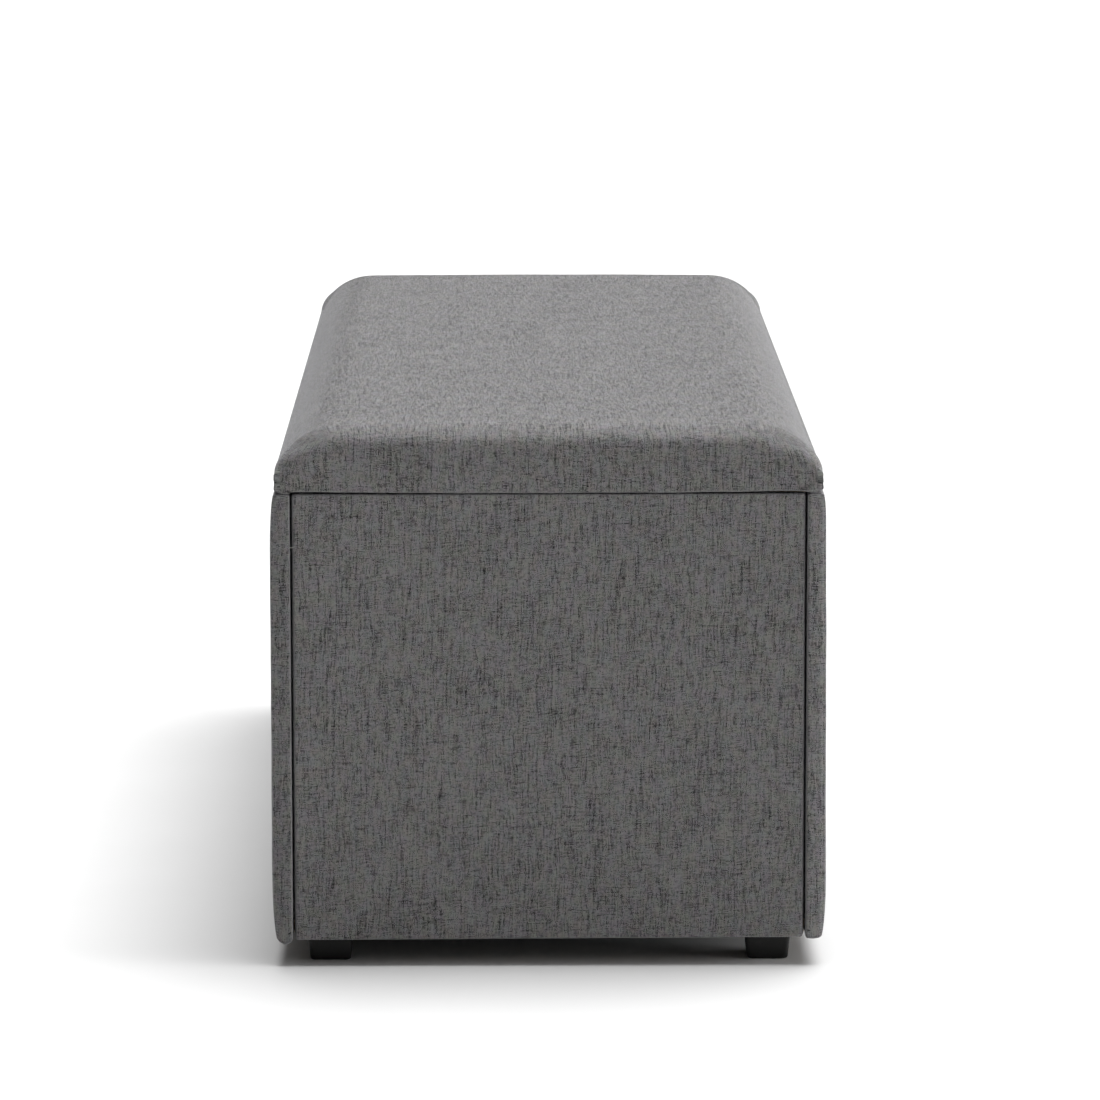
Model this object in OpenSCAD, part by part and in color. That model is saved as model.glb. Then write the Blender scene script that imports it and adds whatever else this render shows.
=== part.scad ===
// Upholstered storage bench: a padded lid on two butt hinges over a fabric-covered box,
// held open by a folding parallelogram stay at each end.
// Millimetres. X runs along the bench, -Y is the front, +Y the hinged back, Z up.
// The origin is on the floor, under the middle of the bench.

/* [Overall] */
// Length of the box and lid, along X
bench_l = 1100; // [1000:10:1200]
// Depth of the box at its rim, along Y
bench_w = 418; // [400:2:450]
// Height of the upholstered box, without feet and lid
box_h = 345; // [320:5:400]
// Angle at which the stays stop the lid
lid_open = 100; // [92:1:105]

/* [Panels] */
// Plywood thickness of the front and back panels
long_board_t = 10; // [9:1:12]
// Plywood thickness of the end panels
end_board_t = 12; // [10:1:15]
// Plywood thickness of the base
base_board_t = 10; // [9:1:12]
// How far the padding of the front and back swells past the rim
crown = 3.5; // [2:0.5:5]
// Upholstery fabric thickness
fabric_t = 1; // [0.8:0.1:1]
// Black lining thickness
lining_t = 0.8; // [0.6:0.1:0.8]
// Fabric turned over and stapled behind each panel
hem = 25; // [20:1:30]
// Open groove beside each end panel
groove = 2.3; // [1.5:0.1:3]

/* [Frame] */
// Side of the square corner posts
post_w = 35; // [32:1:40]
// Side of the square base cleats
cleat_w = 20; // [18:1:24]
// Height of the rail that carries the hinges
rail_h = 25; // [22:1:30]

/* [Lid] */
// Thickness of the whole lid
lid_t = 50; // [44:1:60]
// Plywood thickness of the lid
lid_board_t = 12; // [10:1:15]
// Gap between rim and closed lid, filled by the hinge leaves
lid_gap = 2.5; // [2.5:0.1:3]
// Width of the foam's rounded shoulder
shoulder_w = 42; // [30:1:55]
// Corner radius of the lid seen from above
lid_corner_r = 22; // [16:1:28]

/* [Feet] */
// Height of each foot
foot_h = 23; // [20:1:35]
// Side of the foot at its top
foot_top_w = 36; // [32:1:42]
// Side of the foot at the floor
foot_floor_w = 31; // [26:1:32]
// From the end of the bench to the foot
foot_inset_x = 20; // [15:1:30]
// From the middle of the bench to the foot's centre, along Y
foot_y = 169; // [150:1:174]

/* [Hinges] */
// Length of each butt hinge
hinge_l = 60; // [50:5:80]
// From the middle of the bench to each hinge
hinge_x = 380; // [300:10:420]
// Width of each hinge leaf
leaf_w = 24; // [22:1:26]
// Thickness of each hinge leaf
leaf_t = 1.2; // [1:0.1:1.2]
// Outer radius of the knuckles
knuckle_r = 2.6; // [2.4:0.1:2.6]
// Radius of the hinge pin
pin_r = 1.3; // [1.1:0.1:1.3]

/* [Stays] */
// Steel thickness of the brackets
bracket_t = 2; // [1.5:0.1:2]
// Steel thickness of the arms
arm_t = 2.5; // [2:0.1:2.5]
// Width of the arms
arm_w = 16; // [14:1:18]
// Radius of the rivets that the arms turn on
rivet_r = 2.5; // [2:0.1:3]

/* [Hidden] */
$fn = 48;
running = 0.05;        // radial clearance of pins and rivets
pilot = 0.1;           // radial clearance of screws in wood
play = 0.1;            // gap between faces that slide past each other

// Heights
foot_recess = 1;       // the feet start this far above the panels' lower edge
underside_t = 1;
z_box = foot_h - foot_recess;
z_base = foot_h + underside_t;
z_floor = z_base + base_board_t;
z_rim = z_box + box_h;
z_lid = z_rim + lid_gap;
z_top = z_lid + lid_t;
lining_drop = 20;      // the linings stop this far below the rim

// Long panels, from the outside in
y_rim = bench_w / 2;
y_in = y_rim - 2 * fabric_t - long_board_t;
y_bay = y_in - lining_t;
crown_rise = 14;       // height over which the padding swells below the rim
crown_fall = 45;       // height over which it thins again above the lower edge
arc_steps = 8;

// End panels, from the outside in
x_out = bench_l / 2;
board_x = x_out - fabric_t;
x_in = x_out - 2 * fabric_t - end_board_t;
x_bay = x_in - lining_t;
end_y = y_in - groove;

// Corner bolts and tee nuts
bolt_r = 3;
bolt_head_r = 5.25;
bolt_head_h = 3.3;
bolt_hole_r = 3.3;
hex_r = 2.3;           // hexagon socket in the bolt's head
hex_depth = 2.2;
bolt_short = 1.5;      // bolts end this far below the board's face
nut_flange_r = 9;
nut_flange_t = 1.5;
nut_barrel_r = 4;
nut_bore_r = 3.1;
nut_barrel_l = 8;
long_bolt_z = [z_box + 70, z_rim - 70];
end_bolt_z = [z_box + 100, z_rim - 100];
x_post = x_bay - post_w / 2;
y_post = y_bay - post_w / 2;
z_post_top = z_rim - rail_h - 1;

// Hinges
axis_y = y_rim + crown - knuckle_r;
axis_z = z_rim + lid_gap / 2;
knuckles = 5;
knuckle_gap = 0.3;
pin_end = 0.6;         // the pin stands this far out of each end of its hinge
leaf_end_y = axis_y - knuckle_r - knuckle_gap;
leaf_start_y = y_rim - leaf_w - 1;
notch_r = knuckle_r + 0.4;
leaf_screws = [[-22, leaf_end_y - 5], [0, leaf_start_y + 5], [22, leaf_end_y - 5]];
leaf_screw_r = 1.6;
leaf_screw_head_r = 3;
leaf_screw_l = 18;
lid_screw_l = 11;

// Stays: a parallelogram of hinge line, bracket pivot, elbow and lid pivot, as [y, z]
stay_drop = [-80, -61];
stay_reach = [-190, -12];
hinge_line = [axis_y, axis_z];
pivot_box = hinge_line + stay_drop;
pivot_lid = hinge_line + stay_reach;
elbow = pivot_box + stay_reach;
// Direction of the arm when the lid is open, as an angle in the YZ plane
arm_open = atan2(stay_reach[1], stay_reach[0]) - lid_open;
// Layers of the stay, from the end lining towards the middle of the bench
washer_t = 1;
layer_gap = 0.3;
x_bracket = x_bay - bracket_t;
x_arm = x_bracket - washer_t - play - arm_t;
x_link = x_arm - layer_gap - arm_t;
x_ear = x_link - layer_gap - bracket_t;
eye_extra = 1;         // the arms' eyes are this much wider than their bars, each side
rivet_head_r = 5;
rivet_head_t = 1.8;
rivet_flush = 0.6;     // thickness of a head sunk into its plate
stay_screw_r = 1.8;
stay_screw_head_r = 3.6;
stay_screw_head_t = 1.8;
stay_screw_l = 11;
bracket_screws = [[15, 8], [-15, -20], [15, -20]];
bracket_half_y = 22;
bracket_half_z = 30;
stop_start = 18;       // the stop tab runs from here along the open arm
stop_l = 10;
stop_w = 2.5;
stop_gap = 0.4;
ear_w = 24;
ear_r = 9;
flange_l = 26;
flange_screws = [[10, -6], [19, 6]];

// Lid
lid_y = y_rim - fabric_t;
z_board = z_lid + fabric_t;
z_foam = z_board + lid_board_t;
foam_h = z_top - fabric_t - z_foam;
lid_hem = 30;
lid_levels = 8;
corner_steps = 8;
corner_growth = 0.25;  // the corners grow rounder towards the top by this share of the inset
cover_air = 0.15;      // air between foam and cover
z_lid_lining = z_lid - lining_t;
lid_lining_x = x_out - 20;
lid_lining_front = y_rim - 18;
lid_lining_back = y_rim - 26;
staple_edge = 4;
staple_pitch = 62;
staple_w = 10;
staple_wire = 0.7;
staple_leg = 6;
bumper_r = 4;
bumpers = [[300, -(y_in + y_rim) / 2], [(x_in + x_out) / 2, -120]];

// Feet
foot_x = x_out - foot_inset_x - foot_top_w / 2;
foot_screw_r = 2.1;
foot_screw_head_r = 4.5;
foot_screw_head_t = 2.5;
foot_bore_r = 5.5;
foot_bore_h = 11;
foot_screw_l = 20;
foot_corner_r = 3;
foot_toe = 1.5;        // bevel round the foot's lower edge

// ---------- helpers ----------

// A box between two corners
module block(low, high) {
    translate(low) cube(high - low);
}

// A box centred on X and Y
module slab(half_x, half_y, z_low, z_high) {
    block([-half_x, -half_y, z_low], [half_x, half_y, z_high]);
}

// Moves something modelled at +X, +Y to any of the four corners
module at_corner(side_x, side_y) {
    mirror([side_x < 0 ? 1 : 0, 0, 0])
        mirror([0, side_y < 0 ? 1 : 0, 0])
            children();
}

module at_all_corners() {
    for (side_x = [-1, 1], side_y = [-1, 1])
        at_corner(side_x, side_y) children();
}

// Copies something modelled at +X to both ends
module at_both_ends() {
    for (side_x = [-1, 1]) at_corner(side_x, 1) children();
}

// Extrudes a shape drawn in [y, z] along X, from x up to x + thickness
module extrude_yz(x, thickness) {
    translate([x, 0, 0]) rotate([90, 0, 90]) linear_extrude(thickness) children();
}

module countersunk_screw(shank_r, head_r, head_h, length) {
    cylinder(r1 = head_r, r2 = shank_r, h = head_h);
    cylinder(r = shank_r, h = length - shank_r);
    translate([0, 0, length - shank_r]) cylinder(r1 = shank_r, r2 = 0.2, h = shank_r);
}

// A rectangle with round corners, centred
module round_square(half_x, half_y, r) {
    square([2 * half_x, 2 * (half_y - r)], center = true);
    square([2 * (half_x - r), 2 * half_y], center = true);
    for (x = [r - half_x, half_x - r], y = [r - half_y, half_y - r])
        translate([x, y]) circle(r);
}

// Points round the same rectangle at height z, counter-clockwise from above
function round_ring(half_x, half_y, r, z) = [
    for (quarter = [0 : 3], i = [0 : corner_steps])
        let (
            angle = 90 * (quarter + i / corner_steps),
            side_x = quarter == 0 || quarter == 3 ? 1 : -1,
            side_y = quarter < 2 ? 1 : -1
        )
        [side_x * (half_x - r) + r * cos(angle), side_y * (half_y - r) + r * sin(angle), z]
];

// A closed skin over rings of equally many points, from the lowest up
module ring_stack(rings) {
    n = len(rings[0]);
    top = n * (len(rings) - 1);
    polyhedron(
        points = [for (ring = rings) each ring],
        faces = concat(
            [[for (i = [0 : n - 1]) i]],
            [for (level = [0 : len(rings) - 2], i = [0 : n - 1], half = [0, 1])
                let (low = level * n + i, low_next = level * n + (i + 1) % n)
                half == 0 ? [low, low + n, low_next + n] : [low, low_next + n, low_next]],
            [[for (i = [n - 1 : -1 : 0]) top + i]]
        )
    );
}

module round_head_screw(shank_r, head_r, head_h, length) {
    translate([0, 0, -head_h]) cylinder(r = head_r, h = head_h);
    cylinder(r = shank_r, h = length);
}

// ---------- corner bolts and tee nuts, modelled at +X, +Y ----------

// Along +Y at a height, starting on the post's inner face
module toward_long_board(z) {
    translate([x_post, y_bay - post_w, z]) rotate([-90, 0, 0]) children();
}

// Along +X at a height, starting on the post's inner face
module toward_end_board(z) {
    translate([x_bay - post_w, y_post, z]) rotate([0, 90, 0]) children();
}

long_bolt_l = post_w + lining_t + fabric_t + long_board_t - bolt_short;
end_bolt_l = post_w + lining_t + fabric_t + end_board_t - bolt_short;

module corner_bolt(length) {
    difference() {
        union() {
            translate([0, 0, -bolt_head_h]) cylinder(r = bolt_head_r, h = bolt_head_h);
            cylinder(r = bolt_r, h = length);
        }
        translate([0, 0, -bolt_head_h - 1]) cylinder(r = hex_r, h = hex_depth + 1, $fn = 6);
    }
}

// A tee nut whose flange ends on the board's outer face, `reach` from the post
module tee_nut(reach) {
    translate([0, 0, reach]) difference() {
        union() {
            translate([0, 0, -nut_flange_t]) cylinder(r = nut_flange_r, h = nut_flange_t);
            translate([0, 0, -nut_barrel_l]) cylinder(r = nut_barrel_r, h = nut_barrel_l);
        }
        translate([0, 0, -nut_barrel_l - 1]) cylinder(r = nut_bore_r, h = nut_barrel_l + 2);
    }
}

// The hole and flange seat that a board has for one tee nut
module tee_nut_seat(reach, board_t) {
    translate([0, 0, reach - board_t - 1]) cylinder(r = nut_barrel_r + pilot, h = board_t + 2);
    translate([0, 0, reach - nut_flange_t]) cylinder(r = nut_flange_r + pilot, h = nut_flange_t + 1);
}

module long_bolt_holes() {
    for (z = long_bolt_z)
        toward_long_board(z) translate([0, 0, -1]) cylinder(r = bolt_hole_r, h = long_bolt_l);
}

module end_bolt_holes() {
    for (z = end_bolt_z)
        toward_end_board(z) translate([0, 0, -1]) cylinder(r = bolt_hole_r, h = end_bolt_l);
}

// ---------- hinges, modelled at +X ----------

// Where the screws of one leaf start: the faces of the leaf that meet in the gap
module at_leaf_screws() {
    for (p = leaf_screws) translate([hinge_x + p[0], p[1], 0]) children();
}

module box_leaf_screws(extra) {
    at_leaf_screws()
        translate([0, 0, z_rim + leaf_t])
            mirror([0, 0, 1])
                countersunk_screw(leaf_screw_r + extra, leaf_screw_head_r + extra,
                                  leaf_t, leaf_screw_l + extra);
}

module lid_leaf_screws(extra) {
    at_leaf_screws()
        translate([0, 0, z_lid - leaf_t])
            countersunk_screw(leaf_screw_r + extra, leaf_screw_head_r + extra,
                              leaf_t, lid_screw_l + extra);
}

// The gap in the covers that the knuckles turn in
module knuckle_notch() {
    at_both_ends()
        translate([hinge_x - hinge_l / 2 - 1.5, axis_y, axis_z])
            rotate([0, 90, 0]) cylinder(r = notch_r, h = hinge_l + 3);
}

// One leaf with the knuckles whose number is first, first + 2, ...
module hinge_leaf(first, z_low) {
    pitch = hinge_l / knuckles;
    start = hinge_x - hinge_l / 2;
    difference() {
        union() {
            block([start, leaf_start_y, z_low], [start + hinge_l, leaf_end_y, z_low + leaf_t]);
            for (k = [first : 2 : knuckles - 1]) {
                x_low = start + k * pitch + (k == 0 ? 0 : knuckle_gap / 2);
                x_high = start + (k + 1) * pitch - (k == knuckles - 1 ? 0 : knuckle_gap / 2);
                block([x_low, leaf_end_y - 1, z_low], [x_high, axis_y, z_low + leaf_t]);
                translate([x_low, axis_y, axis_z])
                    rotate([0, 90, 0]) cylinder(r = knuckle_r, h = x_high - x_low);
            }
        }
        translate([start - 1, axis_y, axis_z])
            rotate([0, 90, 0]) cylinder(r = pin_r + running, h = hinge_l + 2);
        if (first == 0) box_leaf_screws(pilot);
        if (first == 1) lid_leaf_screws(pilot);
    }
}

module hinge_box_leaf(side_x) {
    color("silver") at_corner(side_x, 1) hinge_leaf(0, z_rim);
}

module hinge_lid_leaf(side_x) {
    color("silver") at_corner(side_x, 1) hinge_leaf(1, z_lid - leaf_t);
}

module hinge_pins() {
    color("gainsboro") at_both_ends()
        translate([hinge_x - hinge_l / 2 - pin_end, axis_y, axis_z])
            rotate([0, 90, 0]) cylinder(r = pin_r, h = hinge_l + 2 * pin_end);
}

module hinge_box_screws() {
    color("gainsboro") at_both_ends() box_leaf_screws(0);
}

module hinge_lid_screws() {
    color("gainsboro") at_both_ends() lid_leaf_screws(0);
}

// ---------- stays, modelled at +X ----------

module at_bracket_screws() {
    for (p = bracket_screws)
        translate([x_bracket, pivot_box[0] + p[0], pivot_box[1] + p[1]])
            rotate([0, 90, 0]) children();
}

module stay_bracket_screws(extra) {
    at_bracket_screws()
        round_head_screw(stay_screw_r + extra, stay_screw_head_r, stay_screw_head_t,
                         stay_screw_l + extra);
}

module at_flange_screws() {
    for (p = flange_screws)
        translate([x_ear + bracket_t - p[0], pivot_lid[0] + p[1], z_lid_lining - bracket_t])
            children();
}

module stay_flange_screws(extra) {
    at_flange_screws()
        round_head_screw(stay_screw_r + extra, stay_screw_head_r, stay_screw_head_t,
                         stay_screw_l + extra);
}

// A flat bar between two [y, z] points, with a slightly wider round eye at each end
module link_bar(p, q, x) {
    angle = atan2(q[1] - p[1], q[0] - p[0]);
    extrude_yz(x, arm_t) difference() {
        union() {
            translate(p) circle(r = arm_w / 2 + eye_extra);
            translate(q) circle(r = arm_w / 2 + eye_extra);
            translate(p) rotate(angle) translate([0, -arm_w / 2]) square([norm(q - p), arm_w]);
        }
        translate(p) circle(r = rivet_r + running);
        translate(q) circle(r = rivet_r + running);
    }
}

// A rivet along X with a head at each end of its grip
module rivet(p, x_low, x_high) {
    translate([0, p[0], p[1]]) rotate([0, 90, 0]) {
        translate([0, 0, x_low]) cylinder(r = rivet_r, h = x_high - x_low);
        translate([0, 0, x_low - rivet_head_t]) cylinder(r = rivet_head_r, h = rivet_head_t);
        translate([0, 0, x_high]) cylinder(r = rivet_head_r, h = rivet_head_t);
    }
}

// Plate on the end panel with a spacer for the arm, and the tab that stops it
module stay_box_bracket(side_x) {
    color("silver") at_corner(side_x, 1) difference() {
        union() {
            extrude_yz(x_bracket, bracket_t)
                translate(pivot_box)
                    square([2 * bracket_half_y, 2 * bracket_half_z], center = true);
            extrude_yz(x_bracket - washer_t, washer_t + bracket_t)
                translate(pivot_box) circle(r = rivet_head_r + 2);
            extrude_yz(x_arm, x_bay - x_arm)
                translate(pivot_box) rotate(arm_open)
                    translate([stop_start, -arm_w / 2 - stop_gap - stop_w])
                        square([stop_l, stop_w]);
        }
        extrude_yz(x_arm - 1, x_bay - x_arm + 2)
            translate(pivot_box) circle(r = rivet_r + running);
        extrude_yz(x_bay - rivet_flush - running, 1)
            translate(pivot_box) circle(r = rivet_head_r + running);
        stay_bracket_screws(pilot);
    }
}

// The fixed rivet's outer head is sunk into the back of the plate, clear of the lining
module stay_box_rivets() {
    x_inner = x_arm - play;
    x_sunk = x_bay - rivet_flush;
    color("gainsboro") at_both_ends()
        translate([0, pivot_box[0], pivot_box[1]]) rotate([0, 90, 0]) {
            translate([0, 0, x_inner - rivet_head_t]) cylinder(r = rivet_head_r, h = rivet_head_t);
            translate([0, 0, x_inner]) cylinder(r = rivet_r, h = x_sunk - x_inner);
            translate([0, 0, x_sunk]) cylinder(r = rivet_head_r, h = rivet_flush - running);
        }
}

module stay_box_screws() {
    color("gainsboro") at_both_ends() stay_bracket_screws(0);
}

// Angle bracket under the lid: an ear for the pivot and a flange for the screws
module stay_lid_bracket(side_x) {
    flange_x = x_ear + bracket_t;
    color("silver") at_corner(side_x, 1) difference() {
        union() {
            extrude_yz(x_ear, bracket_t) {
                translate(pivot_lid) circle(r = ear_r);
                translate([pivot_lid[0] - ear_r, pivot_lid[1]])
                    square([2 * ear_r, z_lid_lining - pivot_lid[1]]);
            }
            block([flange_x - flange_l, pivot_lid[0] - ear_w / 2, z_lid_lining - bracket_t],
                  [flange_x, pivot_lid[0] + ear_w / 2, z_lid_lining]);
        }
        extrude_yz(x_ear - 1, bracket_t + 2)
            translate(pivot_lid) circle(r = rivet_r + running);
        stay_flange_screws(pilot);
    }
}

module stay_lid_rivets() {
    color("gainsboro") at_both_ends()
        rivet(pivot_lid, x_ear - play, x_link + arm_t + play);
}

module stay_lid_screws() {
    color("gainsboro") at_both_ends() stay_flange_screws(0);
}

module stay_arm(side_x) {
    color("darkgray") at_corner(side_x, 1) link_bar(pivot_box, elbow, x_arm);
}

module stay_link(side_x) {
    color("darkgray") at_corner(side_x, 1) link_bar(pivot_lid, elbow, x_link);
}

module elbow_rivet(side_x) {
    color("gainsboro") at_corner(side_x, 1)
        rivet(elbow, x_link - play, x_arm + arm_t + play);
}

// ---------- front and back panels ----------

// A quarter of an ellipse over which the padding swells from the edge at z_edge, as [y, z]
function swell_arc(z_edge, rise, y_face) = [
    for (i = [1 : arc_steps])
        let (angle = 90 * i / arc_steps)
        [y_face + crown * sin(angle), z_edge + rise * (1 - cos(angle))]
];

// The swollen outer outline, from the lower edge up, with its face `skin` outside the padding's
function panel_outline(skin) =
    let (
        y_face = y_rim - fabric_t + skin,
        z_low = z_box + fabric_t,
        z_high = z_rim - fabric_t,
        upper = swell_arc(z_high, -crown_rise, y_face)
    )
    concat(
        [[y_face, z_low - skin]],
        swell_arc(z_low, crown_fall, y_face),
        [for (i = [arc_steps - 1 : -1 : 0]) upper[i]],
        [[y_face, z_high + skin]]
    );

// Board and padding together, with the cover's thickness when skin is fabric_t
module panel_section(skin) {
    y_flat = y_in + fabric_t - skin;
    polygon(concat(
        [[y_flat, z_box + fabric_t - skin]],
        panel_outline(skin),
        [[y_flat, z_rim - fabric_t + skin]]
    ));
}

module long_board(side_y) {
    color("burlywood") at_corner(1, side_y) difference() {
        block([-board_x, y_in + fabric_t, z_box + fabric_t],
              [board_x, y_rim - fabric_t, z_rim - fabric_t]);
        at_both_ends()
            for (z = long_bolt_z) toward_long_board(z) tee_nut_seat(long_bolt_l + bolt_short, long_board_t);
        if (side_y > 0) at_both_ends() box_leaf_screws(pilot);
    }
}

module long_padding(side_y) {
    color("ivory") at_corner(1, side_y)
        extrude_yz(-board_x, 2 * board_x) polygon(panel_outline(0));
}

module long_cover(side_y) {
    color("dimgray") at_corner(1, side_y) difference() {
        extrude_yz(-x_out, bench_l) panel_section(fabric_t);
        extrude_yz(-board_x, 2 * board_x) panel_section(0);
        block([hem - x_out, y_in - 1, z_box + hem], [x_out - hem, y_in + 2, z_rim - hem]);
        if (side_y > 0) {
            knuckle_notch();
            at_both_ends() box_leaf_screws(pilot);
        }
    }
}

module long_lining(side_y) {
    color("black") at_corner(1, side_y) difference() {
        block([-x_in, y_bay, z_floor], [x_in, y_in, z_rim - lining_drop]);
        at_both_ends() long_bolt_holes();
    }
}

// ---------- end panels ----------

module end_board(side_x) {
    color("burlywood") at_corner(side_x, 1) difference() {
        block([x_in + fabric_t, fabric_t - end_y, z_box + fabric_t],
              [x_out - fabric_t, end_y - fabric_t, z_rim - fabric_t]);
        for (side_y = [-1, 1], z = end_bolt_z)
            at_corner(1, side_y) toward_end_board(z) tee_nut_seat(end_bolt_l + bolt_short, end_board_t);
        stay_bracket_screws(pilot);
    }
}

module end_cover(side_x) {
    color("dimgray") at_corner(side_x, 1) difference() {
        block([x_in, -end_y, z_box], [x_out, end_y, z_rim]);
        block([x_in + fabric_t, fabric_t - end_y, z_box + fabric_t],
              [x_out - fabric_t, end_y - fabric_t, z_rim - fabric_t]);
        block([x_in - 1, hem - end_y, z_box + hem], [x_in + 2 * fabric_t, end_y - hem, z_rim - hem]);
        for (side_y = [-1, 1]) at_corner(1, side_y) end_bolt_holes();
    }
}

module end_lining(side_x) {
    color("black") at_corner(side_x, 1) difference() {
        block([x_bay, -end_y, z_floor], [x_in, end_y, z_rim - lining_drop]);
        for (side_y = [-1, 1]) at_corner(1, side_y) end_bolt_holes();
        stay_bracket_screws(pilot);
    }
}

// ---------- frame inside the box ----------

module post(side_x, side_y) {
    color("wheat") at_corner(side_x, side_y) difference() {
        block([x_bay - post_w, y_bay - post_w, z_floor], [x_bay, y_bay, z_post_top]);
        long_bolt_holes();
        end_bolt_holes();
    }
}

module base_cleat(side_y) {
    color("wheat") at_corner(1, side_y)
        block([post_w - x_bay, y_bay - cleat_w, z_floor], [x_bay - post_w, y_bay, z_floor + cleat_w]);
}

module hinge_rail() {
    color("wheat") difference() {
        block([-x_bay, y_bay - cleat_w, z_rim - rail_h], [x_bay, y_bay, z_rim]);
        at_both_ends() box_leaf_screws(pilot);
    }
}

module base_board() {
    color("burlywood") difference() {
        slab(x_in - 0.5, y_in - 0.5, z_base, z_floor);
        at_all_corners() foot_screw(pilot);
    }
}

module base_lining() {
    color("black") difference() {
        slab(x_bay, y_bay - cleat_w, z_floor, z_floor + lining_t);
        at_all_corners()
            block([x_bay - post_w, y_bay - post_w, z_base], [x_bay + 1, y_bay + 1, z_rim]);
    }
}

module underside_cover() {
    color("black") difference() {
        slab(x_in - 6, y_in - 6, z_base - underside_t, z_base);
        at_all_corners() foot_screw(pilot);
    }
}

// ---------- feet, modelled at +X, +Y ----------

module foot_screw(extra) {
    translate([foot_x, foot_y, foot_bore_h])
        round_head_screw(foot_screw_r + extra, foot_screw_head_r, foot_screw_head_t,
                         foot_screw_l + extra);
}

module foot(side_x, side_y) {
    levels = [[foot_floor_w / 2 - foot_toe, 0], [foot_floor_w / 2, foot_toe],
              [foot_top_w / 2, foot_h]];
    color("#1c1c1a") at_corner(side_x, side_y) difference() {
        translate([foot_x, foot_y, 0])
            ring_stack([for (p = levels) round_ring(p[0], p[0], foot_corner_r, p[1])]);
        translate([foot_x, foot_y, -1]) cylinder(r = foot_bore_r, h = foot_bore_h + 1);
        foot_screw(pilot);
    }
}

module foot_screws() {
    color("gainsboro") at_all_corners() foot_screw(0);
}

// ---------- lid ----------

// One level of the lid's outline, drawn in by `inset` and grown by `skin`
function lid_ring(inset, skin, z) = round_ring(
    board_x + skin - inset,
    lid_y + skin - inset,
    lid_corner_r + skin + inset * corner_growth,
    z
);

// The lid's form from z_low up and over its rounded shoulder, `skin` outside the foam
module lid_body(z_low, skin) {
    first = z_low < z_foam ? [lid_ring(0, skin, z_low)] : [];
    ring_stack(concat(first, [
        for (i = [0 : lid_levels])
            let (angle = 90 * i / lid_levels)
            lid_ring(shoulder_w * (1 - cos(angle)), skin, z_foam + (foam_h + skin) * sin(angle))
    ]));
}

module lid_board() {
    color("burlywood") difference() {
        translate([0, 0, z_board]) linear_extrude(lid_board_t)
            round_square(board_x, lid_y, lid_corner_r);
        at_both_ends() {
            lid_leaf_screws(pilot);
            stay_flange_screws(pilot);
        }
    }
}

module lid_foam() {
    color("ivory") lid_body(z_foam, 0);
}

module lid_cover() {
    color("dimgray") difference() {
        lid_body(z_lid, fabric_t);
        lid_body(z_board, cover_air);
        slab(board_x - lid_hem, lid_y - lid_hem, z_lid - 1, z_board + 1);
        knuckle_notch();
        at_both_ends() lid_leaf_screws(pilot);
    }
}

module lid_lining() {
    color("black") difference() {
        block([-lid_lining_x, -lid_lining_front, z_lid_lining],
              [lid_lining_x, lid_lining_back, z_lid]);
        at_both_ends() stay_flange_screws(pilot);
    }
}

// A staple through the lining's edge, its crown along X
module staple() {
    for (x = [-staple_w / 2, staple_w / 2 - staple_wire])
        translate([x, -staple_wire / 2, 0]) cube([staple_wire, staple_wire, staple_leg]);
    translate([-staple_w / 2, -staple_wire / 2, -staple_wire])
        cube([staple_w, staple_wire, staple_wire]);
}

module lid_staples() {
    x_row = lid_lining_x - staple_edge;
    columns = floor((x_row - staple_w) / staple_pitch);
    rows = floor((lid_lining_back - staple_w) / staple_pitch);
    staple_rows = [staple_edge - lid_lining_front, lid_lining_back - staple_edge];
    color("gainsboro") translate([0, 0, z_lid_lining]) {
        for (i = [-columns : columns], y = staple_rows) translate([i * staple_pitch, y, 0]) staple();
        for (i = [-rows : rows], x = [-x_row, x_row])
            translate([x, i * staple_pitch, 0]) rotate(90) staple();
    }
}

// Soft pads on the rim that the closed lid rests on
module lid_bumpers() {
    color("#303030") at_both_ends() for (p = bumpers)
        translate([p[0], p[1], z_rim]) cylinder(r = bumper_r, h = lid_gap - play);
}

// ---------- assembly ----------

module corner_bolts() {
    color("gainsboro") at_all_corners() {
        for (z = long_bolt_z) toward_long_board(z) corner_bolt(long_bolt_l);
        for (z = end_bolt_z) toward_end_board(z) corner_bolt(end_bolt_l);
    }
}

module corner_tee_nuts() {
    color("silver") at_all_corners() {
        for (z = long_bolt_z) toward_long_board(z) tee_nut(long_bolt_l + bolt_short);
        for (z = end_bolt_z) toward_end_board(z) tee_nut(end_bolt_l + bolt_short);
    }
}

long_board(-1);  // front_board
long_board(1);  // back_board
end_board(-1);  // left_end_board
end_board(1);  // right_end_board
base_board();
long_padding(-1);  // front_padding
long_padding(1);  // back_padding
long_cover(-1);  // front_cover
long_cover(1);  // back_cover
end_cover(-1);  // left_end_cover
end_cover(1);  // right_end_cover
post(-1, -1);  // front_left_post
post(1, -1);  // front_right_post
post(-1, 1);  // back_left_post
post(1, 1);  // back_right_post
base_cleat(-1);  // front_base_cleat
base_cleat(1);  // back_base_cleat
hinge_rail();
long_lining(-1);  // front_lining
long_lining(1);  // back_lining
end_lining(-1);  // left_lining
end_lining(1);  // right_lining
base_lining();
underside_cover();
foot(-1, -1);  // front_left_foot
foot(1, -1);  // front_right_foot
foot(-1, 1);  // back_left_foot
foot(1, 1);  // back_right_foot
foot_screws();
corner_bolts();
corner_tee_nuts();
hinge_box_leaf(-1);  // left_hinge_box_leaf
hinge_box_leaf(1);  // right_hinge_box_leaf
hinge_pins();
hinge_box_screws();
stay_box_bracket(-1);  // left_stay_box_bracket
stay_box_bracket(1);  // right_stay_box_bracket
stay_box_screws();
stay_box_rivets();
lid_bumpers();
lid_board();
lid_foam();
lid_cover();
lid_lining();
lid_staples();
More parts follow.
